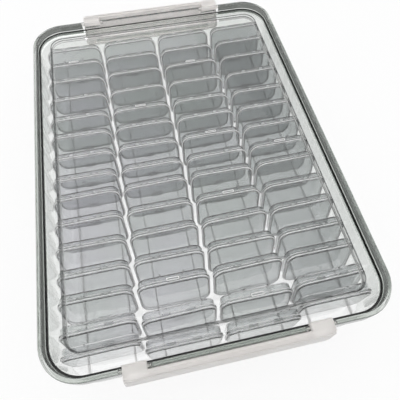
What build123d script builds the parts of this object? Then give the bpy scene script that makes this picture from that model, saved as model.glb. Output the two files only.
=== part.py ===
from build123d import *
from math import sqrt
import os

# A clear storage case with a lift-off lid, a latch at each end and sixty small
# flip-lid boxes. They stand in four columns and lean back in slotted floor rails.
# Millimetres. X runs across the case, Y from the front to the rear and Z up.
# The origin is the centre of the footprint, on the table.

# ---- case ----
case_width = 235.5        # outside of the lid rim, across
case_length = 330.0       # outside of the lid rim, front to rear
case_corner = 27.0        # outside corner radius of the lid rim
case_height = 54.0        # table to the top of the lid rim

# ---- lid ----
rim_height = 10.0         # depth of the upright band round the lid
rim_wall = 3.2
deck_drop = 5.3           # from the rim's top down to the floor of the channel
lid_thickness = 2.0
panel_width = 205.0       # raised middle panel
panel_length = 296.0
panel_corner = 12.0
panel_drop = 2.0          # from the rim's top down to the raised panel
rim_round = 1.0
panel_round = 0.8

# ---- tray ----
tray_wall = 1.6
tray_floor = 2.0
tray_fit = 0.3            # side clearance of the tray's edge inside the lid band
tray_draft = 0.5          # how far each wall leans in towards the floor
foot_height = 1.5
foot_width = 3.0
foot_inset = 8.0          # from the tray's lower edge in to the foot ring
flange_thickness = 1.6
flange_gap = 0.4          # below the lid band
flange_inset = 0.6        # inside the outer face of the lid band

# ---- latches ----
latch_half_top = 67.4     # half width at the top
latch_half_bottom = 71.0
latch_above = 2.4         # how far the latch stands above the lid rim
latch_height = 31.5
latch_depth = 4.5         # front to back, without the lugs
latch_gap = 0.8           # between the latch and the lid band
latch_wall = 1.5
latch_corner = 4.0
latch_round = 0.9
lug_width = 15.0
lug_reach = 3.2           # from the pivot inwards over the rim
lug_radius = 2.4
lug_side_gap = 0.3
pivot_drop = 1.8          # from the rim's top down to the pivot
stub_radius = 0.9
stub_length = 2.4
stub_clearance = 0.05
hook_reach = 0.8          # how far the hook stands in from the latch's inner face
hook_overlap = 0.3        # how far the hook reaches under the catch
hook_clearance = 2.6      # between the hook and the catch's underside
catch_thickness = 2.0
catch_half_width = 60.0
latch_ribs = 5
groove_width = 1.0        # of the groove along the top of the latch
groove_depth = 0.4

# ---- boxes ----
columns = 4
side_room = 1.85          # between the tray's walls and the places of the outer columns
box_gap = 2.4             # between neighbouring boxes of a row
head_room = 4.2           # between an upright box and the lid
box_depth = 8.2
box_corner = 8.0
box_lid_depth = 2.3       # the part of the depth that the flip lid takes
box_wall = 1.0
box_round = 0.8           # rounding of the outer faces
edge_round = 0.3          # rounding of the flanges
box_edge = 0.9            # thickness of the flange where body and lid meet
box_step = 1.0            # how far the flange stands out at the ends and the top
hinge_offset = 8.6        # from the middle of the box to each hinge
hinge_radius = 0.9
hinge_drop = 0.5          # hinge axis below the edge of the flange
hinge_lid_knuckle = 3.0
hinge_body_knuckle = 1.4
hinge_gap = 0.2
hinge_pin_radius = 0.45
hinge_pin_clearance = 0.05
clasp_width = 9.6
clasp_thickness = 0.8
clasp_gap = 0.15
clasp_hook = 0.9
guide_width = 1.2         # ribs at both sides of the clasp
guide_height = 1.0

# ---- how the boxes stand ----
row_pitch = 20.49
lean = 12.0               # degrees that a box leans to the rear
steeper = {0: 0.0, 1: 8.0}   # lean of the rows nearest the front wall, counted from there
seat_height = 6.0         # middle of a box's lower edge above the table
front_margin = 9.0        # from the front wall to the seat of the front row
rear_margin = 23.9        # least room from the rear wall to the seat of the rear row
# how far the boxes of a row stand in front of their even place, from the front row to the rear
drifts = [0, 6.5, 6.5, 8.5, 8, 8, 6.5, 9, 8, 6.5, 7, 4, 1.5, 0.5, 0]
corner_gap = 0.3          # between a box and the rounded corner of the tray
corner_shift = 0.5        # inwards, for the two boxes in the front corners
crowded_drift = 4.5       # drift of the boxes behind those two
# small turns of single boxes, in degrees, repeated along each column
turns = [[-1.0, 0.0, -0.5, 1.0, 0.5], [0.5, -0.5, 0.0, 1.0, 0.0],
         [1.0, 0.0, 1.0, -0.5, 0.0], [1.0, 0.5, 0.0, 1.0, 0.0]]
# boxes with their clasp up, as column and row; the others have their hinge up
clasp_up = [(1, 2), (2, 5), (2, 13), (3, 3), (3, 7), (3, 10), (3, 14), (4, 8)]
# boxes that lift out and open by themselves, as column and row
loose = [(1, 2), (2, 13), (3, 10), (4, 8)]

# ---- rails ----
rail_spread = 33.5        # between the two rails of a column
rail_shift = 2.0          # of both rails to the right of the column's middle
rail_thickness = 1.0
rail_above_seat = 2.2     # top of a rail above the boxes' seats
rail_end_gap = 0.5
notch_clearance = 0.25    # on each side of a box in its notch

# ---- worked out ----
band_low = case_height - rim_height
deck_top = case_height - deck_drop
deck_low = deck_top - lid_thickness
panel_top = case_height - panel_drop
panel_low = panel_top - lid_thickness
rim_inner_width = case_width - 2 * rim_wall
rim_inner_length = case_length - 2 * rim_wall
rim_inner_corner = case_corner - rim_wall
tray_width = rim_inner_width - 2 * tray_fit
tray_length = rim_inner_length - 2 * tray_fit
tray_corner = rim_inner_corner - tray_fit
floor_top = foot_height + tray_floor
inner_width = tray_width - 2 * tray_wall
inner_length = tray_length - 2 * tray_wall
inner_corner = tray_corner - tray_wall
pivot_y = case_length / 2 - rim_wall / 2
pivot_z = case_height - pivot_drop
latch_top = case_height + latch_above
latch_low = latch_top - latch_height
latch_inner = case_length / 2 + latch_gap
latch_outer = latch_inner + latch_depth
lug_outer_x = latch_half_top
lug_inner_x = lug_outer_x - lug_width
lug_middle_x = (lug_inner_x + lug_outer_x) / 2
hook_top = latch_low + latch_wall
catch_low = hook_top + hook_clearance
catch_y = latch_inner - hook_reach + hook_overlap
column_pitch = (inner_width - 2 * side_room) / columns
box_width = column_pitch - box_gap
box_height = deck_low - seat_height - head_room
box_part_y = -box_depth / 2 + box_lid_depth
rows = int((inner_length - front_margin - rear_margin) / row_pitch) + 1
knuckle_pitch = (hinge_lid_knuckle + hinge_body_knuckle) / 2 + hinge_gap
hinge_reach = knuckle_pitch + hinge_body_knuckle / 2


def slab(width, length, corner, low, high):
    """An upright plate with rounded corners, centred on the origin."""
    return extrude(Pos(0, 0, low) * RectangleRounded(width, length, corner), high - low)


def block(x, y, z):
    """A box between the low and high value given for each axis."""
    size = [high - low for low, high in (x, y, z)]
    middle = [(high + low) / 2 for low, high in (x, y, z)]
    return Pos(*middle) * Box(*size)


def rod(radius, x, y, z):
    """A round rod along X, between two values of x."""
    low, high = x
    return Pos((low + high) / 2, y, z) * Rot(0, 90, 0) * Cylinder(radius, high - low)


def drafted(width, length, corner, low, high, lean_in):
    """A plate whose walls lean in by lean_in towards its lower face."""
    lower = RectangleRounded(width - 2 * lean_in, length - 2 * lean_in, corner - lean_in)
    upper = RectangleRounded(width, length, corner)
    return loft([Pos(0, 0, low) * lower, Pos(0, 0, high) * upper])


def base_tray():
    """Floor, walls, foot ring, edge flange and the two catches of the latches."""
    tray = drafted(tray_width, tray_length, tray_corner, foot_height, deck_low, tray_draft)
    catch_z = (catch_low, catch_low + catch_thickness)
    catch_x = (-catch_half_width, catch_half_width)
    tray += block(catch_x, (-catch_y, catch_y), catch_z)
    flange_high = band_low - flange_gap
    tray += slab(case_width - 2 * flange_inset, case_length - 2 * flange_inset,
                 case_corner - flange_inset, flange_high - flange_thickness, flange_high)
    tray -= drafted(inner_width, inner_length, inner_corner, floor_top, deck_low, tray_draft)
    inset = foot_inset + tray_draft
    ring_width = tray_width - 2 * inset
    ring_length = tray_length - 2 * inset
    ring = slab(ring_width, ring_length, tray_corner - inset, 0, foot_height)
    ring -= slab(ring_width - 2 * foot_width, ring_length - 2 * foot_width,
                 tray_corner - inset - foot_width, 0, foot_height)
    return tray + ring


def case_lid():
    """Upright band, sunk channel and raised middle panel, with seats for the latches."""
    lid = slab(case_width, case_length, case_corner, band_low, case_height)
    lid -= slab(rim_inner_width, rim_inner_length, rim_inner_corner, deck_top, case_height)
    lid = fillet(lid.edges().filter_by_position(Axis.Z, case_height, case_height), rim_round)
    panel = slab(panel_width, panel_length, panel_corner, deck_low, panel_top)
    lid += fillet(panel.edges().filter_by_position(Axis.Z, panel_top, panel_top), panel_round)
    lid -= slab(rim_inner_width, rim_inner_length, rim_inner_corner, band_low, deck_low)
    lid -= slab(panel_width - 2 * lid_thickness, panel_length - 2 * lid_thickness,
                panel_corner - lid_thickness, deck_low, panel_low)
    notch_low = pivot_z - lug_reach - lug_side_gap
    notch_in = pivot_y - lug_reach - lug_side_gap
    socket = stub_radius + stub_clearance
    reach = stub_length + lug_side_gap
    for side in (-1, 1):
        x = side * lug_middle_x
        half = lug_width / 2 + lug_side_gap
        notch = block((x - half, x + half), (notch_in, latch_outer), (notch_low, latch_top))
        bore = rod(socket, (x - half - reach, x + half + reach), pivot_y, pivot_z)
        cut = notch + bore
        lid -= cut
        lid -= Rot(0, 0, 180) * cut
    return lid


def front_view(half_top, half_bottom, low, high, corner, y_low, y_high):
    """A plate seen from the front as a trapezium with rounded corners."""
    outline = Polygon((-half_bottom, low), (half_bottom, low), (half_top, high),
                      (-half_top, high), align=None)
    outline = fillet(outline.vertices(), corner)
    return Plane((0, y_high, 0), x_dir=(1, 0, 0), z_dir=(0, -1, 0)) * extrude(outline, y_high - y_low)


def rear_latch():
    """A hollow latch that hangs on the rear rim by two lugs and hooks below the catch."""
    latch = front_view(latch_half_top, latch_half_bottom, latch_low, latch_top,
                       latch_corner, latch_inner, latch_outer)
    hollow = front_view(latch_half_top - latch_wall, latch_half_bottom - latch_wall,
                        hook_top, latch_top - latch_wall, latch_corner - latch_wall,
                        latch_inner, latch_outer - latch_wall)
    groove_y = (latch_inner + latch_outer) / 2
    groove = block((-latch_half_top, latch_half_top),
                   (groove_y - groove_width / 2, groove_y + groove_width / 2),
                   (latch_top - groove_depth, latch_top))
    outer_edges = latch.edges().filter_by_position(Axis.Y, latch_outer, latch_outer)
    latch = fillet(outer_edges, latch_round) - hollow - groove
    rib_reach = latch_half_top - lug_width - latch_wall
    latch += block((-catch_half_width, catch_half_width),
                   (latch_inner - hook_reach, latch_inner + latch_wall), (latch_low, hook_top))
    for index in range(latch_ribs):
        x = rib_reach * (2 * index / (latch_ribs - 1) - 1)
        latch += block((x - latch_wall / 2, x + latch_wall / 2),
                       (latch_outer - latch_depth / 2, latch_outer - latch_wall / 2),
                       (hook_top, latch_top - latch_wall))
    for side in (-1, 1):
        x = side * lug_middle_x
        span = (x - lug_width / 2, x + lug_width / 2)
        lug = block(span, (pivot_y - lug_reach, latch_outer - latch_wall), (pivot_z, latch_top))
        lug = fillet(lug.edges().filter_by(Axis.X).sort_by(Axis.Y)[:2].sort_by(Axis.Z)[-1], rim_round)
        lug += rod(lug_radius, span, pivot_y, pivot_z)
        lug += block(span, (pivot_y, latch_outer - latch_wall), (pivot_z - lug_radius, pivot_z))
        latch += lug
        latch += rod(stub_radius, (span[0] - stub_length, span[1] + stub_length), pivot_y, pivot_z)
    return latch


def box_slice(inset, y_low, y_high, rounded_y=None, rounding=0):
    """A slice of the box between two depths, set in from the full outline, one rim rounded."""
    outline = RectangleRounded(box_width - 2 * inset, box_height - 2 * inset, box_corner - inset)
    wall = extrude(outline, y_high - y_low)
    piece = Plane((0, y_high, box_height / 2), x_dir=(1, 0, 0), z_dir=(0, -1, 0)) * wall
    if rounded_y is None:
        return piece
    return fillet(piece.edges().filter_by_position(Axis.Y, rounded_y, rounded_y), rounding)


def knuckle(width, x, y_low, y_high):
    """A hinge knuckle with its neck, between two depths of the flange."""
    span = (x - width / 2, x + width / 2)
    neck = block(span, (y_low, y_high), (-hinge_drop, box_edge))
    return rod(hinge_radius, span, box_part_y, -hinge_drop) + neck


def knuckle_space(width, x):
    """The room that a knuckle of the other half turns in."""
    half = width / 2 + hinge_gap
    return rod(hinge_radius + hinge_gap, (x - half, x + half), box_part_y, -hinge_drop)


def box_body():
    """The deep half of a flip-lid box, open towards its front."""
    rear = box_depth / 2
    flange_rear = box_part_y + box_edge
    body = box_slice(0, box_part_y, flange_rear, flange_rear, edge_round)
    body += box_slice(box_step, flange_rear, rear, rear, box_round)
    body -= box_slice(box_step + box_wall, box_part_y, rear - box_wall, rear - box_wall, edge_round)
    bore = hinge_pin_radius + hinge_pin_clearance
    for x in (-hinge_offset, hinge_offset):
        body -= knuckle_space(hinge_lid_knuckle, x)
        for way in (-1, 1):
            body += knuckle(hinge_body_knuckle, x + way * knuckle_pitch, box_part_y, flange_rear)
        body -= rod(bore, (x - hinge_reach, x + hinge_reach), box_part_y, -hinge_drop)
        body += block((x - guide_width / 2, x + guide_width / 2), (box_part_y, rear),
                      (box_height - box_step - box_wall / 2, box_height + guide_height))
    return body


def box_lid():
    """The shallow half of a flip-lid box, with its hinge knuckles and clasp."""
    front = -box_depth / 2
    flange_front = box_part_y - box_edge
    lid = box_slice(0, flange_front, box_part_y, flange_front, edge_round)
    lid += box_slice(box_step, front, flange_front, front, box_round)
    lid -= box_slice(box_step + box_wall, front + box_wall, box_part_y)
    for x in (-hinge_offset, hinge_offset):
        for way in (-1, 1):
            lid -= knuckle_space(hinge_body_knuckle, x + way * knuckle_pitch)
        lid += knuckle(hinge_lid_knuckle, x, flange_front, box_part_y)
        lid += rod(hinge_pin_radius, (x - hinge_reach, x + hinge_reach), box_part_y, -hinge_drop)
    half = clasp_width / 2
    clasp_low = box_height + clasp_gap
    clasp_back = box_part_y + box_edge + clasp_gap + clasp_hook
    lid += block((-half, half), (flange_front, clasp_back), (clasp_low, clasp_low + clasp_thickness))
    lid += block((-half, half), (flange_front, box_part_y), (box_height - box_step, clasp_low))
    lid += block((-half, half), (clasp_back - clasp_hook, clasp_back),
                 (box_height - box_edge, clasp_low))
    return lid


def wall_reach(x):
    """From the middle of the tray to its end wall at the floor, x off the middle."""
    radius = inner_corner - tray_draft
    over = max(0, abs(x) - (inner_width / 2 - tray_draft - radius))
    return inner_length / 2 - tray_draft - radius + sqrt(radius ** 2 - over ** 2)


def place(column, row):
    """Where a box stands: middle of its lower edge, its turn and its lean."""
    from_front = rows - row
    x = (column - (columns + 1) / 2) * column_pitch
    drift = drifts[from_front % len(drifts)]
    if column in (1, columns) and from_front == 1:
        drift = crowded_drift
    y = front_margin - inner_length / 2 + from_front * row_pitch - drift
    if column in (1, columns) and from_front == 0:
        x -= corner_shift if x > 0 else -corner_shift
        y = box_depth / 2 + corner_gap - wall_reach(abs(x) + box_width / 2 + corner_gap / 2)
    turn = turns[(column - 1) % len(turns)][(row - 1) % len(turns[0])]
    tilt = steeper.get(from_front, lean)
    return Location((x, y, seat_height), (0, 0, turn)) * Location((0, 0, 0), (-tilt, 0, 0))


def box_place(column, row):
    """The place of a box; one with its hinge up is turned over about its middle."""
    here = place(column, row)
    if (column, row) in clasp_up:
        return here
    return here * Location((0, 0, box_height), (0, 180, 0))


def floor_rails():
    """Two slotted rails below each column, cut to the boxes that stand in them."""
    rails = []
    for column in range(1, columns + 1):
        slots = []
        for row in range(1, rows + 1):
            slot = Pos(0, 0, box_height / 2) * Box(box_width, box_depth + 2 * notch_clearance, box_height)
            slots.append(place(column, row) * slot)
        middle = (column - (columns + 1) / 2) * column_pitch + rail_shift
        for side in (-1, 1):
            x = middle + side * rail_spread / 2
            end = wall_reach(abs(x) + rail_thickness / 2) - rail_end_gap
            rail = block((x - rail_thickness / 2, x + rail_thickness / 2), (-end, end),
                         (floor_top, seat_height + rail_above_seat))
            rails.append(rail - slots)
    return Compound(children=[solid for rail in rails for solid in rail.solids()])


def save(name, shape):
    """Write one sub-part to its own file."""
    shape.label = name
    export_step(shape, f"parts/{name}.step")


def main():
    os.makedirs("parts", exist_ok=True)
    save("base_tray", base_tray())
    save("case_lid", case_lid())
    latch = rear_latch()
    save("latch_rear", latch)
    save("latch_front", Rot(0, 0, 180) * latch)
    save("floor_rails", floor_rails())
    body = box_body()
    lid = box_lid()
    for row in range(1, rows + 1):
        standing = [column for column in range(1, columns + 1) if (column, row) not in loose]
        bodies = [box_place(column, row) * body for column in standing]
        lids = [box_place(column, row) * lid for column in standing]
        save(f"row_{row:02d}_box_bodies", Compound(children=bodies))
        save(f"row_{row:02d}_box_lids", Compound(children=lids))
    for column, row in [spot for spot in loose if spot[1] <= rows]:
        name = f"box_column_{column}_row_{row:02d}"
        save(f"{name}_body", box_place(column, row) * body)
        save(f"{name}_lid", box_place(column, row) * lid)


main()
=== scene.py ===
from math import cos, radians, sin

import bpy
from mathutils import Matrix, Vector


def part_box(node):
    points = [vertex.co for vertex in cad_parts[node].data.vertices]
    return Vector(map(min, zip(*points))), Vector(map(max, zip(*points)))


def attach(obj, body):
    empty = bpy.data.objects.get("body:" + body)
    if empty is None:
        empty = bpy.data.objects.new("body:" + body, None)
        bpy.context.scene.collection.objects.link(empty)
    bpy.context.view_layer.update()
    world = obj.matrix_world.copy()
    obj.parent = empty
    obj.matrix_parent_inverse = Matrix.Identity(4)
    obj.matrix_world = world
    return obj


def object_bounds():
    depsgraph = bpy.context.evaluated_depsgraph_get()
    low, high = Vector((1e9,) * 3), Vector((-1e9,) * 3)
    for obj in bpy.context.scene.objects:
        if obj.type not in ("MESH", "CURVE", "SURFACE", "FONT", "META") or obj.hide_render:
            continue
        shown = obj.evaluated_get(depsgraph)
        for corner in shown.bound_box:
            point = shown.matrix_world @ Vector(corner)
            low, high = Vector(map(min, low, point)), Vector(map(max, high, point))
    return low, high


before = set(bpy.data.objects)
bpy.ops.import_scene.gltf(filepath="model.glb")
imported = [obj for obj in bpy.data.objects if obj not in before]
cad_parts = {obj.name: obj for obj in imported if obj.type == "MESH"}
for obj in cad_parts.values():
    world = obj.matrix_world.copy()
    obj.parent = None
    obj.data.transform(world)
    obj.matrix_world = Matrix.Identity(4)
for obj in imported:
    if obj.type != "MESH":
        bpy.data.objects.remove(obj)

bl_info = {
    "name": "Bead Organizer",
    "version": (1, 0, 0),
    "blender": (4, 5, 0),
    "location": "View3D > Sidebar > Organizer",
    "description": "Dresses a clear case of small flip-lid boxes and sets its studio",
    "category": "Object",
}

CAD_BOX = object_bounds()
NODES = list(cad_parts)
X_AXIS, Y_AXIS, Z_AXIS = range(3)

# Clear plastic. A pattern's scale is per metre, and its depth is in metres.
CLEAR_IOR = 1.49
SHADOW_CLEARNESS = 0.985
FLOW_ACROSS, FLOW_ALONG = 60, 6
FLOW_DEPTH = 0.0006
SCUFF_SCALE, LEAST_SCUFF = 420.0, 0.4
BOX_DRIFT_SCALE, BOX_DRIFT_START, BOX_DRIFT_GAIN = 14.0, 0.35, 3.0
LID_DRIFT_SCALE = 9.0
LID_SCUFF_SHARE, LID_RIPPLE_SHARE = 0.6, 0.5

# Frosted plastic, and how a second tint differs from the first.
FROSTED_IOR = 1.47
CLOUD_SCALE, FROST_SCALE = 55.0, 2600.0
LEAST_FROST, CLOUD_FROST = 0.75, 0.5
FROST_STRENGTH, FROST_DEPTH = 0.12, 0.0002
DIMMER, WARMER = (0.99, 0.99, 0.99), (1.0, 0.99, 0.98)

# Beads of near-white plastic along the boxes' flanges and clasps, painted highlights that stand for
# glints on their edges.
BEAD_TREE = "flange beads"
CORNER_STEPS, BEAD_SIDES = 5, 6

# Studio, in metres, with the camera's sensor in millimetres.
PAPER_SCALE = 900.0
FLOOR_GLOW, FLOOR_HALF = 0.85, 3.0
KEY_PLACE, FILL_PLACE = (-0.55, 0.45, 0.95), (0.75, -0.55, 0.7)
CLEAR_BOUNCES, GLOSSY_BOUNCES = 32, 8
SENSOR_WIDTH, NEAREST_VIEW = 36.0, 0.01


# ---------------------------------------------------------------- shader maths


class Value:
    """A socket in a node tree that takes part in Python expressions."""

    def __init__(self, tree, socket):
        self.tree = tree
        self.socket = socket

    def maths(self, operation, *others):
        return self.tree.node("ShaderNodeMath", {"operation": operation}, [self, *others])

    def __add__(self, other):
        return self.maths("ADD", other)

    __radd__ = __add__

    def __mul__(self, other):
        return self.maths("MULTIPLY", other)

    __rmul__ = __mul__

    def __sub__(self, other):
        return self.maths("SUBTRACT", other)

    def __rsub__(self, other):
        return self.maths("MULTIPLY", -1.0).maths("ADD", other)

    def __truediv__(self, other):
        return self.maths("DIVIDE", other)

    def __abs__(self):
        return self.maths("ABSOLUTE")

    def power(self, exponent):
        return self.maths("POWER", exponent)

    def clamp(self):
        return self.tree.node("ShaderNodeClamp", {}, {"Value": self})


class Shader:
    """The node tree of one material or of the world."""

    def __init__(self, owner):
        owner.use_nodes = True
        self.nodes = owner.node_tree.nodes
        self.links = owner.node_tree.links
        self.nodes.clear()

    def node(self, kind, settings, inputs, output=0):
        """Add a node, set it up, feed its sockets and return one output."""
        made = self.nodes.new(kind)
        for name, value in settings.items():
            setattr(made, name, value)
        pairs = inputs.items() if isinstance(inputs, dict) else enumerate(inputs)
        for name, value in pairs:
            if isinstance(value, Value):
                self.links.new(value.socket, made.inputs[name])
            else:
                made.inputs[name].default_value = value
        return Value(self, made.outputs[output]) if len(made.outputs) else made

    def place(self):
        return self.node("ShaderNodeTexCoord", {}, {}, "Object")

    def along(self, axis):
        """One coordinate of a point on the object, by the axis's letter."""
        return self.node("ShaderNodeSeparateXYZ", {}, {"Vector": self.place()}, axis)

    def outside(self, width, length, corner):
        """How far a point lies outside a rounded rectangle about the origin, seen from above."""
        across, back = [(abs(self.along(axis)) - (size / 2 - corner)).maths("MAXIMUM", 0.0)
                        for axis, size in (("X", width), ("Y", length))]
        return (across * across + back * back).power(0.5) - corner

    def noise(self, scale, detail=2.0, stretch=(1, 1, 1)):
        spot = self.node("ShaderNodeMapping", {}, {"Vector": self.place(), "Scale": stretch})
        inputs = {"Vector": spot, "Scale": scale, "Detail": detail}
        return self.node("ShaderNodeTexNoise", {}, inputs, "Fac")

    def tint(self, amount, first, second):
        inputs = {0: amount, 6: first, 7: second}
        return self.node("ShaderNodeMix", {"data_type": "RGBA"}, inputs, 2)

    def bump(self, height, strength, distance):
        inputs = {"Strength": strength, "Distance": distance, "Height": height}
        return self.node("ShaderNodeBump", {}, inputs)

    def surface(self, skin):
        """End the tree with what the surface shows."""
        self.node("ShaderNodeOutputMaterial", {}, {"Surface": skin})

    def light_path(self, *names):
        """One mask for several kinds of ray."""
        total = None
        for name in names:
            ray = self.node("ShaderNodeLightPath", {}, {}, name)
            total = ray if total is None else total + ray
        return total.clamp()


def colour(values, shares=(1.0, 1.0, 1.0)):
    """An opaque colour, each part times its share."""
    return (*[value * share for value, share in zip(values, shares)], 1.0)


def soft_side(distance, blur):
    """1 outside an edge and 0 inside it, with a change over the blur's width."""
    return (distance / blur + 0.5).clamp()


def soft_line(distance, half_width):
    """1 on a line, fading to 0 at half the line's width."""
    return (1.0 - abs(distance / half_width)).clamp()


def new_material(name):
    """A new material and its empty node tree."""
    material = bpy.data.materials.new(name)
    return material, Shader(material)


# ------------------------------------------------------------------- materials


def plastic_shell(shader, tint, scuff, ripple, streak_axis):
    """Clear moulded skin of a given tint, which lets light through to cast a faint shadow."""
    stretch = [FLOW_ACROSS] * 3
    stretch[streak_axis] = FLOW_ALONG
    flow = shader.noise(1.0, 3.0, stretch)
    scuffs = shader.noise(SCUFF_SCALE, 4.0)
    body = shader.node("ShaderNodeBsdfPrincipled", {}, {
        "Base Color": tint,
        "Roughness": scuff * (LEAST_SCUFF + scuffs),
        "IOR": CLEAR_IOR,
        "Transmission Weight": 1.0,
        "Normal": shader.bump(flow, ripple, FLOW_DEPTH),
    })
    clearness = colour([SHADOW_CLEARNESS] * 3)
    through = shader.node("ShaderNodeBsdfTransparent", {}, {"Color": clearness})
    shadow = shader.light_path("Is Shadow Ray")
    shader.surface(shader.node("ShaderNodeMixShader", {}, {0: shadow, 1: body, 2: through}))


def box_plastic(name, finish, streak_axis):
    """Moulded clear styrene that drifts between two tints, with painted shade that darkens it
    towards the right.
    """
    material, shader = new_material(name)
    patches = shader.noise(BOX_DRIFT_SCALE, 1.0)
    drift = ((patches - BOX_DRIFT_START) * BOX_DRIFT_GAIN).clamp()
    tints = shader.tint(drift, colour(finish.box_tint), colour(finish.second_box_tint))
    low, high = CAD_BOX
    # Painted shade: the tints darken from left to right across the case.
    painted_shade_rightward = soft_side(shader.along("X"), high[0] - low[0])
    right_shade_painted = shader.tint(painted_shade_rightward, tints, colour(finish.painted_shade_box_tint))
    plastic_shell(shader, right_shade_painted, finish.scuff, finish.ripple, streak_axis)
    return material


def latch_light_mask(shader, finish):
    """1 on the stretch of the lid's rim that the rear latch covers, and 0 elsewhere: there painted
    light keeps the band's tint and edge lines off, so the latch behind shows bright.
    """
    low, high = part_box("latch_rear")
    within = (high[0] - low[0]) / 2 - abs(shader.along("X"))
    beyond = shader.along("Y") - low[1]
    return (within / finish.edge_blur).clamp() * (beyond / finish.edge_blur).clamp()


def lid_plastic(name, finish):
    """Clear lid: greener in its band, with painted light that keeps the rear latch's stretch clear,
    and painted shade as dark lines at the band's edges and at the panel's step.
    """
    material, shader = new_material(name)
    low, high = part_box("case_lid")
    walls = 2 * finish.band_wall
    into_band = shader.outside(high[0] - low[0] - walls, high[1] - low[1] - walls,
                               finish.band_corner)
    band = soft_side(into_band, finish.edge_blur)
    # Painted shade: dark lines along the band's two edges.
    from_middle = abs(into_band - finish.band_wall / 2)
    edges = soft_line(finish.band_wall / 2 - from_middle, finish.edge_width)
    # Painted shade: a near-black line at the step round the raised panel.
    past_panel = shader.outside(*finish.panel_size, finish.panel_corner)
    step = soft_line(past_panel + finish.step_width, finish.step_width)
    # Painted light: the band and its edge lines are left clear over the rear latch.
    outside_latch_light = 1.0 - latch_light_mask(shader, finish)
    drift = shader.noise(LID_DRIFT_SCALE)
    plain = shader.tint(drift, colour(finish.lid_tint), colour(finish.lid_tint, DIMMER))
    banded = shader.tint(band * outside_latch_light, plain, colour(finish.band_tint))
    edge_shaded = shader.tint(edges * outside_latch_light, banded, colour(finish.band_edge_shade_tint))
    lined = shader.tint(step, edge_shaded, colour(finish.panel_step_shade_tint))
    plastic_shell(shader, lined, finish.scuff * LID_SCUFF_SHARE,
                  finish.ripple * LID_RIPPLE_SHARE, Y_AXIS)
    return material


def tray_plastic(name, finish):
    """Clear tray: clear in the floor and greener in the thick walls."""
    material, shader = new_material(name)
    low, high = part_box("case_lid")
    walls = 2 * finish.band_wall + 2 * finish.tray_wall
    into_wall = shader.outside(high[0] - low[0] - walls, high[1] - low[1] - walls,
                               finish.band_corner - finish.tray_wall)
    wall = soft_side(into_wall, finish.edge_blur)
    tints = shader.tint(wall, colour(finish.tray_tint), colour(finish.wall_tint))
    plastic_shell(shader, tints, finish.scuff, finish.ripple, Y_AXIS)
    return material


def frosted_plastic(name, tint, roughness, clearness):
    """Milky plastic with a fine frosted skin and cloudy patches."""
    material, shader = new_material(name)
    cloud = shader.noise(CLOUD_SCALE, 3.0)
    frost = shader.noise(FROST_SCALE)
    shader.surface(shader.node("ShaderNodeBsdfPrincipled", {}, {
        "Base Color": shader.tint(cloud, colour(tint), colour(tint, WARMER)),
        "Roughness": roughness * (LEAST_FROST + CLOUD_FROST * cloud),
        "IOR": FROSTED_IOR,
        "Transmission Weight": clearness,
        "Normal": shader.bump(frost, FROST_STRENGTH, FROST_DEPTH),
    }))
    return material


def studio_floor(name, tint):
    """A pale sheet that stays white to the camera and in clear plastic, with a soft shadow."""
    material, shader = new_material(name)
    grain = shader.noise(PAPER_SCALE)
    paper = shader.node("ShaderNodeBsdfDiffuse", {}, {
        "Color": shader.tint(grain, colour(tint), colour(tint, DIMMER)),
    })
    light = shader.node("ShaderNodeEmission", {}, {"Color": (1, 1, 1, 1), "Strength": 1.0})
    mask = shader.light_path("Is Camera Ray", "Is Glossy Ray", "Is Transmission Ray") * FLOOR_GLOW
    shader.surface(shader.node("ShaderNodeMixShader", {}, {0: mask, 1: paper, 2: light}))
    return material


def dress(node, material):
    """Give a CAD node its finish."""
    thing = bpy.data.objects[node]
    for slot in thing.material_slots:
        slot.material = material
    if not thing.material_slots:
        thing.data.materials.append(material)


# --------------------------------------------------------------- flange beads


def bead_tree():
    """A Geometry Nodes tree that sets a rounded frame of thin bead at every point, white as a
    painted highlight.
    """
    tree = bpy.data.node_groups.new(BEAD_TREE, "GeometryNodeTree")
    face = tree.interface
    face.new_socket("Geometry", in_out="INPUT", socket_type="NodeSocketGeometry")
    for name in ("Width", "Height", "Corner", "Bead radius"):
        face.new_socket(name, in_out="INPUT", socket_type="NodeSocketFloat")
    face.new_socket("Plastic", in_out="INPUT", socket_type="NodeSocketMaterial")
    face.new_socket("Geometry", in_out="OUTPUT", socket_type="NodeSocketGeometry")

    def add(kind, settings, inputs):
        made = tree.nodes.new(kind)
        for name, value in settings.items():
            setattr(made, name, value)
        for name, value in inputs.items():
            if isinstance(value, bpy.types.NodeSocket):
                tree.links.new(value, made.inputs[name])
            else:
                made.inputs[name].default_value = value
        return made

    given = tree.nodes.new("NodeGroupInput").outputs
    facing = add("GeometryNodeInputNamedAttribute", {"data_type": "FLOAT_VECTOR"},
                 {"Name": "facing"})
    turned = add("FunctionNodeEulerToRotation", {}, {"Euler": facing.outputs["Attribute"]})
    square = add("GeometryNodeCurvePrimitiveQuadrilateral", {"mode": "RECTANGLE"},
                 {"Width": given["Width"], "Height": given["Height"]})
    rounded = add("GeometryNodeFilletCurve", {"mode": "POLY"},
                  {"Curve": square.outputs[0], "Count": CORNER_STEPS, "Radius": given["Corner"]})
    section = add("GeometryNodeCurvePrimitiveCircle", {"mode": "RADIUS"},
                  {"Resolution": BEAD_SIDES, "Radius": given["Bead radius"]})
    bead = add("GeometryNodeCurveToMesh", {},
               {"Curve": rounded.outputs[0], "Profile Curve": section.outputs[0]})
    placed = add("GeometryNodeInstanceOnPoints", {},
                 {"Points": given["Geometry"], "Instance": bead.outputs[0],
                  "Rotation": turned.outputs[0]})
    solid = add("GeometryNodeRealizeInstances", {}, {"Geometry": placed.outputs[0]})
    finished = add("GeometryNodeSetMaterial", {},
                   {"Geometry": solid.outputs[0], "Material": given["Plastic"]})
    add("NodeGroupOutput", {}, {"Geometry": finished.outputs[0]})
    return tree


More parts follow.
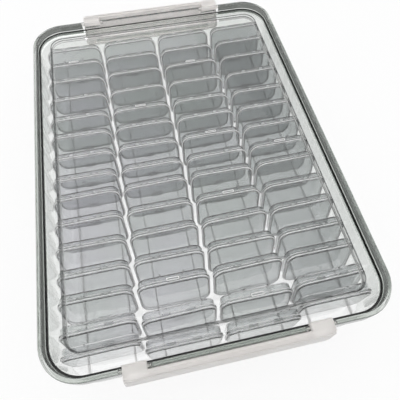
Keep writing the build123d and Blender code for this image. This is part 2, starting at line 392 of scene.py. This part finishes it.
def box_halves(node, beads):
    """Axes and extents of each box half in a CAD node, read from its mesh."""
    mesh = bpy.data.objects[node].data
    clasp_zone = beads.clasp_size[0] / 2 + beads.radius
    columns = {}
    for face in mesh.polygons:
        # The columns' middles lie at odd half pitches.
        columns.setdefault(round(face.center.x / beads.column_pitch + 0.5), []).append(face)
    for faces in columns.values():
        # The broad face gives the box's lean, and what lies aside of the hinges its edges.
        largest = max(faces, key=lambda face: face.area)
        out = largest.normal if largest.normal.y < 0 else -largest.normal
        across = Vector((-out.y, out.x, 0)).normalized()
        upward = out.cross(across)
        points = [mesh.vertices[index].co for face in faces for index in face.vertices]
        side = [point.dot(across) for point in points]
        middle = (min(side) + max(side)) / 2
        plain = [point for point in points if abs(point.dot(across) - middle) > beads.hinge_zone]
        heights = [point.dot(upward) for point in plain]
        reach = heights + [point.dot(upward) for point in points
                           if abs(point.dot(across) - middle) < clasp_zone]
        yield {
            "across": across, "upward": upward, "out": out, "middle": middle,
            "front": max(point.dot(out) for point in plain),
            "low": min(heights), "high": max(heights), "width": max(side) - min(side),
            "clasp_up": max(reach) - max(heights) > min(heights) - min(reach),
        }


def flange_seat(half, depth):
    """Middle and facing of the flange of a box half."""
    centre = half["across"] * half["middle"] + half["upward"] * (half["low"] + half["high"]) / 2
    facing = Matrix((half["across"], half["upward"], half["out"])).transposed().to_euler()
    return centre + half["out"] * (half["front"] - depth), facing


def clasp_seat(half, beads):
    """Middle and facing of the outer face of a flip lid's clasp."""
    if half["clasp_up"]:
        level = half["high"] + beads.clasp_rise
    else:
        level = half["low"] - beads.clasp_rise
    centre = half["across"] * half["middle"] + half["upward"] * level
    facing = Matrix((half["across"], -half["out"], half["upward"])).transposed().to_euler()
    return centre + half["out"] * (half["front"] - beads.clasp_depth), facing


def bead_piece(name, seats, size, corner, body, plastic, beads):
    """Bead frames of one size that ride on one body, as one plain mesh."""
    mesh = bpy.data.meshes.new(name)
    mesh.from_pydata([seat[0] for seat in seats], [], [])
    turns = mesh.attributes.new("facing", "FLOAT_VECTOR", "POINT")
    for item, seat in zip(turns.data, seats):
        item.vector = seat[1]
    piece = bpy.data.objects.new(name, mesh)
    bpy.context.collection.objects.link(piece)
    modifier = piece.modifiers.new("beads", "NODES")
    modifier.node_group = bpy.data.node_groups.get(BEAD_TREE) or bead_tree()
    inputs = {"Width": size[0] - 2 * beads.inset, "Height": size[1] - 2 * beads.inset,
              "Corner": corner - beads.inset, "Bead radius": beads.radius, "Plastic": plastic}
    for socket in modifier.node_group.interface.items_tree:
        if socket.name in inputs:
            modifier[socket.identifier] = inputs[socket.name]
    graph = bpy.context.evaluated_depsgraph_get()
    made = bpy.data.meshes.new_from_object(piece.evaluated_get(graph))
    piece.modifiers.remove(modifier)
    piece.data = made
    made.shade_smooth()
    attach(piece, body)


def flange_beads(name, nodes, body, plastic, beads, depth):
    """The beads round the flanges of all box halves on one body."""
    halves = [half for node in nodes for half in box_halves(node, beads)]
    size = (halves[0]["width"], halves[0]["high"] - halves[0]["low"])
    seats = [flange_seat(half, depth) for half in halves]
    bead_piece(name, seats, size, beads.corner, body, plastic, beads)


def clasp_beads(name, nodes, body, plastic, beads):
    """The beads round the clasps of all flip lids on one body."""
    seats = [clasp_seat(half, beads) for node in nodes for half in box_halves(node, beads)]
    bead_piece(name, seats, beads.clasp_size, beads.clasp_corner, body, plastic, beads)


def nodes_named(*words):
    """The CAD nodes whose names hold all the words."""
    return [node for node in NODES if all(word in node for word in words)]


# ------------------------------------------------------------------ properties


class CaseFinish(bpy.types.PropertyGroup):
    lid_tint: bpy.props.FloatVectorProperty(
        name="Lid tint", description="Colour that the lid gives to light",
        default=(0.985, 0.985, 0.985), subtype="COLOR", min=0, max=1)
    band_tint: bpy.props.FloatVectorProperty(
        name="Band tint", description="Colour of the lid's upright band",
        default=(0.82, 0.835, 0.82), subtype="COLOR", min=0, max=1)
    # Painted shade: the dark lines at the band's edges.
    band_edge_shade_tint: bpy.props.FloatVectorProperty(
        name="Edge tint", description="Colour of the band's two edges",
        default=(0.16, 0.17, 0.16), subtype="COLOR", min=0, max=1)
    edge_width: bpy.props.FloatProperty(
        name="Edge width", description="Half width of the dark lines at the band's edges",
        default=0.0006, min=0.0001, subtype="DISTANCE", unit="LENGTH")
    # Painted shade: the line at the step round the raised panel.
    panel_step_shade_tint: bpy.props.FloatVectorProperty(
        name="Step tint", description="Colour of the step round the raised panel",
        default=(0.02, 0.02, 0.02), subtype="COLOR", min=0, max=1)
    step_width: bpy.props.FloatProperty(
        name="Step width", description="Half width of the line at the step", default=0.001,
        min=0.0001, subtype="DISTANCE", unit="LENGTH")
    tray_tint: bpy.props.FloatVectorProperty(
        name="Tray tint", description="Colour that the tray gives to light",
        default=(0.92, 0.925, 0.925), subtype="COLOR", min=0, max=1)
    wall_tint: bpy.props.FloatVectorProperty(
        name="Wall tint", description="Colour of the tray's walls",
        default=(0.66, 0.69, 0.66), subtype="COLOR", min=0, max=1)
    box_tint: bpy.props.FloatVectorProperty(
        name="Box tint", description="Colour that the small boxes give to light",
        default=(0.78, 0.78, 0.80), subtype="COLOR", min=0, max=1)
    second_box_tint: bpy.props.FloatVectorProperty(
        name="Second box tint", description="Colour that the boxes' tint drifts to",
        default=(0.74, 0.77, 0.75), subtype="COLOR", min=0, max=1)
    # Painted shade: the colour that the boxes darken to at the right.
    painted_shade_box_tint: bpy.props.FloatVectorProperty(
        name="Deep box tint", description="Colour of the boxes at the right",
        default=(0.64, 0.66, 0.66), subtype="COLOR", min=0, max=1)
    rail_tint: bpy.props.FloatVectorProperty(
        name="Rail tint", description="Colour of the slotted floor rails",
        default=(0.97, 0.97, 0.97), subtype="COLOR", min=0, max=1)
    rail_roughness: bpy.props.FloatProperty(
        name="Rail roughness", description="Roughness of the rails' skin", default=0.3, min=0,
        max=1, subtype="FACTOR")
    rail_clearness: bpy.props.FloatProperty(
        name="Rail clearness", description="Share of light that passes the rails", default=0.0,
        min=0, max=1, subtype="FACTOR")
    band_wall: bpy.props.FloatProperty(
        name="Band wall", description="Thickness of the lid's upright band", default=0.0032,
        min=0, subtype="DISTANCE", unit="LENGTH")
    band_corner: bpy.props.FloatProperty(
        name="Band corner", description="Inner corner radius of the band", default=0.0238,
        min=0, subtype="DISTANCE", unit="LENGTH")
    tray_wall: bpy.props.FloatProperty(
        name="Tray wall", description="Thickness of the tray's wall with its clearance",
        default=0.0019, min=0, subtype="DISTANCE", unit="LENGTH")
    panel_size: bpy.props.FloatVectorProperty(
        name="Panel", description="Width and length of the raised panel", default=(0.205, 0.296),
        size=2, unit="LENGTH")
    panel_corner: bpy.props.FloatProperty(
        name="Panel corner", description="Corner radius of the raised panel", default=0.012,
        min=0, subtype="DISTANCE", unit="LENGTH")
    edge_blur: bpy.props.FloatProperty(
        name="Edge blur", description="Width over which a tint changes at an edge", default=0.0007,
        min=0.0001, subtype="DISTANCE", unit="LENGTH")
    scuff: bpy.props.FloatProperty(
        name="Scuffing", description="Roughness of the clear skin", default=0.03, min=0, max=1,
        subtype="FACTOR")
    ripple: bpy.props.FloatProperty(
        name="Ripple", description="Strength of the mould's flow lines", default=0.12, min=0, max=1,
        subtype="FACTOR")


class FlangeBeads(bpy.types.PropertyGroup):
    column_pitch: bpy.props.FloatProperty(
        name="Column pitch", description="From one column of boxes to the next", default=0.0554,
        subtype="DISTANCE", unit="LENGTH")
    hinge_zone: bpy.props.FloatProperty(
        name="Hinge zone", description="Half width that holds the hinges and the clasp",
        default=0.014, subtype="DISTANCE", unit="LENGTH")
    lid_depth: bpy.props.FloatProperty(
        name="Lid flange", description="From a flip lid's front face to its flange",
        default=0.0014, subtype="DISTANCE", unit="LENGTH")
    body_depth: bpy.props.FloatProperty(
        name="Body flange", description="Thickness of the flange of a box's deep half",
        default=0.0009, subtype="DISTANCE", unit="LENGTH")
    corner: bpy.props.FloatProperty(
        name="Corner", description="Corner radius of the flange", default=0.008,
        subtype="DISTANCE", unit="LENGTH")
    clasp_size: bpy.props.FloatVectorProperty(
        name="Clasp", description="Width and depth of a clasp", default=(0.0096, 0.00285), size=2,
        unit="LENGTH")
    clasp_corner: bpy.props.FloatProperty(
        name="Clasp corner", description="Corner radius of the bead round a clasp",
        default=0.0009, subtype="DISTANCE", unit="LENGTH")
    clasp_rise: bpy.props.FloatProperty(
        name="Clasp rise", description="From the flange's edge to the clasp's outer face",
        default=0.00095, subtype="DISTANCE", unit="LENGTH")
    clasp_depth: bpy.props.FloatProperty(
        name="Clasp depth", description="From a flip lid's front face to the clasp's middle",
        default=0.00283, subtype="DISTANCE", unit="LENGTH")
    inset: bpy.props.FloatProperty(
        name="Inset", description="From the flange's edge to the middle of the bead",
        default=0.0005, subtype="DISTANCE", unit="LENGTH")
    radius: bpy.props.FloatProperty(
        name="Radius", description="Radius of the bead", default=0.0004, subtype="DISTANCE",
        unit="LENGTH")
    # Painted highlight: the beads' near-white colour stands for glints on the boxes' edges.
    tint: bpy.props.FloatVectorProperty(
        name="Bead tint", description="Colour of the painted_highlight bead", default=(0.96, 0.96, 0.97),
        subtype="COLOR", min=0, max=1)
    roughness: bpy.props.FloatProperty(
        name="Roughness", description="Roughness of the bead's skin", default=0.3, min=0, max=1,
        subtype="FACTOR")
    clearness: bpy.props.FloatProperty(
        name="Clearness", description="Share of light that passes the bead", default=0.1,
        min=0, max=1, subtype="FACTOR")


class LatchFinish(bpy.types.PropertyGroup):
    clearness: bpy.props.FloatProperty(
        name="Clearness", description="Share of light that passes the milky plastic", default=0.6,
        min=0, max=1, subtype="FACTOR")
    tint: bpy.props.FloatVectorProperty(
        name="Tint", description="Colour of the milky plastic", default=(0.985, 0.965, 0.95),
        subtype="COLOR", min=0, max=1)
    roughness: bpy.props.FloatProperty(
        name="Frosting", description="Roughness of the skin", default=0.38, min=0, max=1,
        subtype="FACTOR")


class StudioSettings(bpy.types.PropertyGroup):
    azimuth: bpy.props.FloatProperty(
        name="Azimuth", description="Turn of the camera about the case", default=radians(-12.74),
        subtype="ANGLE")
    elevation: bpy.props.FloatProperty(
        name="Elevation", description="Height angle of the camera", default=radians(61.27),
        subtype="ANGLE")
    roll: bpy.props.FloatProperty(
        name="Roll", description="Turn of the picture", default=radians(0.62), subtype="ANGLE")
    distance: bpy.props.FloatProperty(
        name="Distance", description="From the camera to its aim", default=0.28937,
        subtype="DISTANCE", unit="LENGTH")
    aim: bpy.props.FloatVectorProperty(
        name="Aim", description="Point that the camera looks at",
        default=(0.00312, -0.05811, 0.054), subtype="XYZ", unit="LENGTH")
    lens: bpy.props.FloatProperty(
        name="Lens", description="Focal length in millimetres", default=34.72, min=10, max=200)
    key_power: bpy.props.FloatProperty(
        name="Key light", description="Power of the large soft light", default=13.0,
        subtype="POWER", unit="POWER")
    fill_power: bpy.props.FloatProperty(
        name="Fill light", description="Power of the second light", default=5.0,
        subtype="POWER", unit="POWER")
    key_size: bpy.props.FloatProperty(
        name="Key size", description="Side of the large soft light", default=2.4,
        subtype="DISTANCE", unit="LENGTH")
    fill_size: bpy.props.FloatProperty(
        name="Fill size", description="Side of the second light", default=1.6,
        subtype="DISTANCE", unit="LENGTH")
    ambient: bpy.props.FloatProperty(
        name="Ambient", description="Strength of the even light", default=0.55, min=0, max=2)
    floor_tint: bpy.props.FloatVectorProperty(
        name="Floor", description="Colour of the floor", default=(0.93, 0.93, 0.93),
        subtype="COLOR", min=0, max=1)


# ------------------------------------------------------------------- operators


class ORGANIZER_OT_tray(bpy.types.Operator):
    """Finish the tray and its slotted rails"""
    bl_idname = "organizer.tray"
    bl_label = "Tray"

    def execute(self, context):
        finish = context.scene.case_finish
        dress("base_tray", tray_plastic("clear tray plastic", finish))
        rails = frosted_plastic("pale rail plastic", finish.rail_tint, finish.rail_roughness,
                                finish.rail_clearness)
        dress("floor_rails", rails)
        return {"FINISHED"}


class ORGANIZER_OT_boxes(bpy.types.Operator):
    """Finish the small boxes and their flip lids"""
    bl_idname = "organizer.boxes"
    bl_label = "Small boxes"

    def execute(self, context):
        finish = context.scene.case_finish
        body = box_plastic("clear box plastic", finish, Z_AXIS)
        flap = box_plastic("clear flip lid plastic", finish, X_AXIS)
        for node in nodes_named("box"):
            dress(node, flap if "lid" in node else body)
        return {"FINISHED"}


class ORGANIZER_OT_beads(bpy.types.Operator):
    """Run a bead round the flanges and the clasp of every small box, white as a painted highlight
    """
    bl_idname = "organizer.beads"
    bl_label = "Flange beads"

    def execute(self, context):
        beads = context.scene.flange_beads
        # Painted highlight: near-opaque white plastic for every bead.
        plastic = frosted_plastic("scuffed bead plastic", beads.tint, beads.roughness,
                                  beads.clearness)
        # Word for the rows' nodes, endings of a loose box's node and body, flange's depth.
        halves = (("lids", "_lid", "_lid", beads.lid_depth),
                  ("bodies", "_body", "", beads.body_depth))
        for rows, half, ending, depth in halves:
            standing = nodes_named("row", rows)
            flange_beads(f"flange_beads_{rows}", standing, "tray", plastic, beads, depth)
            for node in nodes_named("box_column", half):
                body = node.removesuffix(half) + ending
                flange_beads(f"flange_bead_{node}", [node], body, plastic, beads, depth)
        clasp_beads("clasp_beads", nodes_named("row", "lids"), "tray", plastic, beads)
        for node in nodes_named("box_column", "_lid"):
            clasp_beads(f"clasp_bead_{node}", [node], node, plastic, beads)
        return {"FINISHED"}


class ORGANIZER_OT_lid(bpy.types.Operator):
    """Finish the case's lid"""
    bl_idname = "organizer.lid"
    bl_label = "Case lid"

    def execute(self, context):
        finish = context.scene.case_finish
        dress("case_lid", lid_plastic("clear lid plastic", finish))
        return {"FINISHED"}


class ORGANIZER_OT_latches(bpy.types.Operator):
    """Finish both latches"""
    bl_idname = "organizer.latches"
    bl_label = "Latches"

    def execute(self, context):
        finish = context.scene.latch_finish
        frosted = frosted_plastic("frosted latch plastic", finish.tint, finish.roughness,
                                  finish.clearness)
        for node in nodes_named("latch"):
            dress(node, frosted)
        return {"FINISHED"}


class ORGANIZER_OT_studio(bpy.types.Operator):
    """Set the floor, the lights and the camera"""
    bl_idname = "organizer.studio"
    bl_label = "Studio"

    def execute(self, context):
        scene = context.scene
        studio = scene.studio
        self.floor(studio)
        self.world(scene, studio)
        self.light("key", KEY_PLACE, studio.key_size, studio.key_power)
        self.light("fill", FILL_PLACE, studio.fill_size, studio.fill_power)
        self.camera(scene, studio)
        scene.view_settings.view_transform = "Standard"
        scene.cycles.max_bounces = CLEAR_BOUNCES
        scene.cycles.transmission_bounces = CLEAR_BOUNCES
        scene.cycles.transparent_max_bounces = CLEAR_BOUNCES
        scene.cycles.glossy_bounces = GLOSSY_BOUNCES
        return {"FINISHED"}

    def floor(self, studio):
        half = FLOOR_HALF
        corners = [(-half, -half, 0), (half, -half, 0), (half, half, 0), (-half, half, 0)]
        mesh = bpy.data.meshes.new("studio_floor")
        mesh.from_pydata(corners, [], [(0, 1, 2, 3)])
        floor = bpy.data.objects.new("studio_floor", mesh)
        bpy.context.collection.objects.link(floor)
        mesh.materials.append(studio_floor("pale studio floor", studio.floor_tint))

    def world(self, scene, studio):
        world = bpy.data.worlds.new("studio")
        scene.world = world
        shader = Shader(world)
        mask = shader.light_path("Is Camera Ray", "Is Glossy Ray", "Is Transmission Ray")
        inputs = {"Color": (1, 1, 1, 1), "Strength": mask * (1 - studio.ambient) + studio.ambient}
        sky = shader.node("ShaderNodeBackground", {}, inputs)
        shader.node("ShaderNodeOutputWorld", {}, {"Surface": sky})

    def light(self, name, spot, size, power):
        lamp = bpy.data.lights.new(name, "AREA")
        lamp.shape = "SQUARE"
        lamp.size = size
        lamp.energy = power
        thing = bpy.data.objects.new(name, lamp)
        thing.location = spot
        thing.visible_glossy = False
        thing.rotation_euler = Vector(spot).to_track_quat("Z", "Y").to_euler()
        bpy.context.collection.objects.link(thing)

    def camera(self, scene, studio):
        around, rise, roll = studio.azimuth, studio.elevation, studio.roll
        back = Vector((sin(around) * cos(rise), -cos(around) * cos(rise), sin(rise)))
        level = Vector((cos(around), sin(around), 0))
        upright = back.cross(level)
        right = level * cos(roll) + upright * sin(roll)
        up = upright * cos(roll) - level * sin(roll)
        lens = bpy.data.cameras.new("camera")
        lens.lens = studio.lens
        lens.sensor_width = SENSOR_WIDTH
        lens.clip_start = NEAREST_VIEW
        camera = bpy.data.objects.new("camera", lens)
        turn = Matrix((right, up, back)).transposed().to_4x4()
        spot = Vector(studio.aim) + back * studio.distance
        camera.matrix_world = Matrix.Translation(spot) @ turn
        bpy.context.collection.objects.link(camera)
        scene.camera = camera


class ORGANIZER_PT_panel(bpy.types.Panel):
    """Lists the pieces of the organizer"""
    bl_label = "Organizer"
    bl_space_type = "VIEW_3D"
    bl_region_type = "UI"
    bl_category = "Organizer"

    def draw(self, context):
        layout = self.layout
        for setting in SETTINGS:
            group = getattr(context.scene, setting)
            for name in group.__annotations__:
                layout.prop(group, name)
        for operator in STEPS:
            layout.operator(operator.bl_idname)


STEPS = [ORGANIZER_OT_tray, ORGANIZER_OT_boxes, ORGANIZER_OT_beads, ORGANIZER_OT_lid,
         ORGANIZER_OT_latches, ORGANIZER_OT_studio]
SETTINGS = {"case_finish": CaseFinish, "flange_beads": FlangeBeads, "latch_finish": LatchFinish,
            "studio": StudioSettings}


def register():
    for kind in [*SETTINGS.values(), *STEPS, ORGANIZER_PT_panel]:
        bpy.utils.register_class(kind)
    for name, kind in SETTINGS.items():
        setattr(bpy.types.Scene, name, bpy.props.PointerProperty(type=kind))


def unregister():
    for name in SETTINGS:
        delattr(bpy.types.Scene, name)
    for kind in [ORGANIZER_PT_panel, *reversed(STEPS), *reversed(SETTINGS.values())]:
        bpy.utils.unregister_class(kind)


def main():
    register()
    for step in STEPS:
        group, name = step.bl_idname.split(".")
        getattr(getattr(bpy.ops, group), name)()


if __name__ == "__main__":
    main()
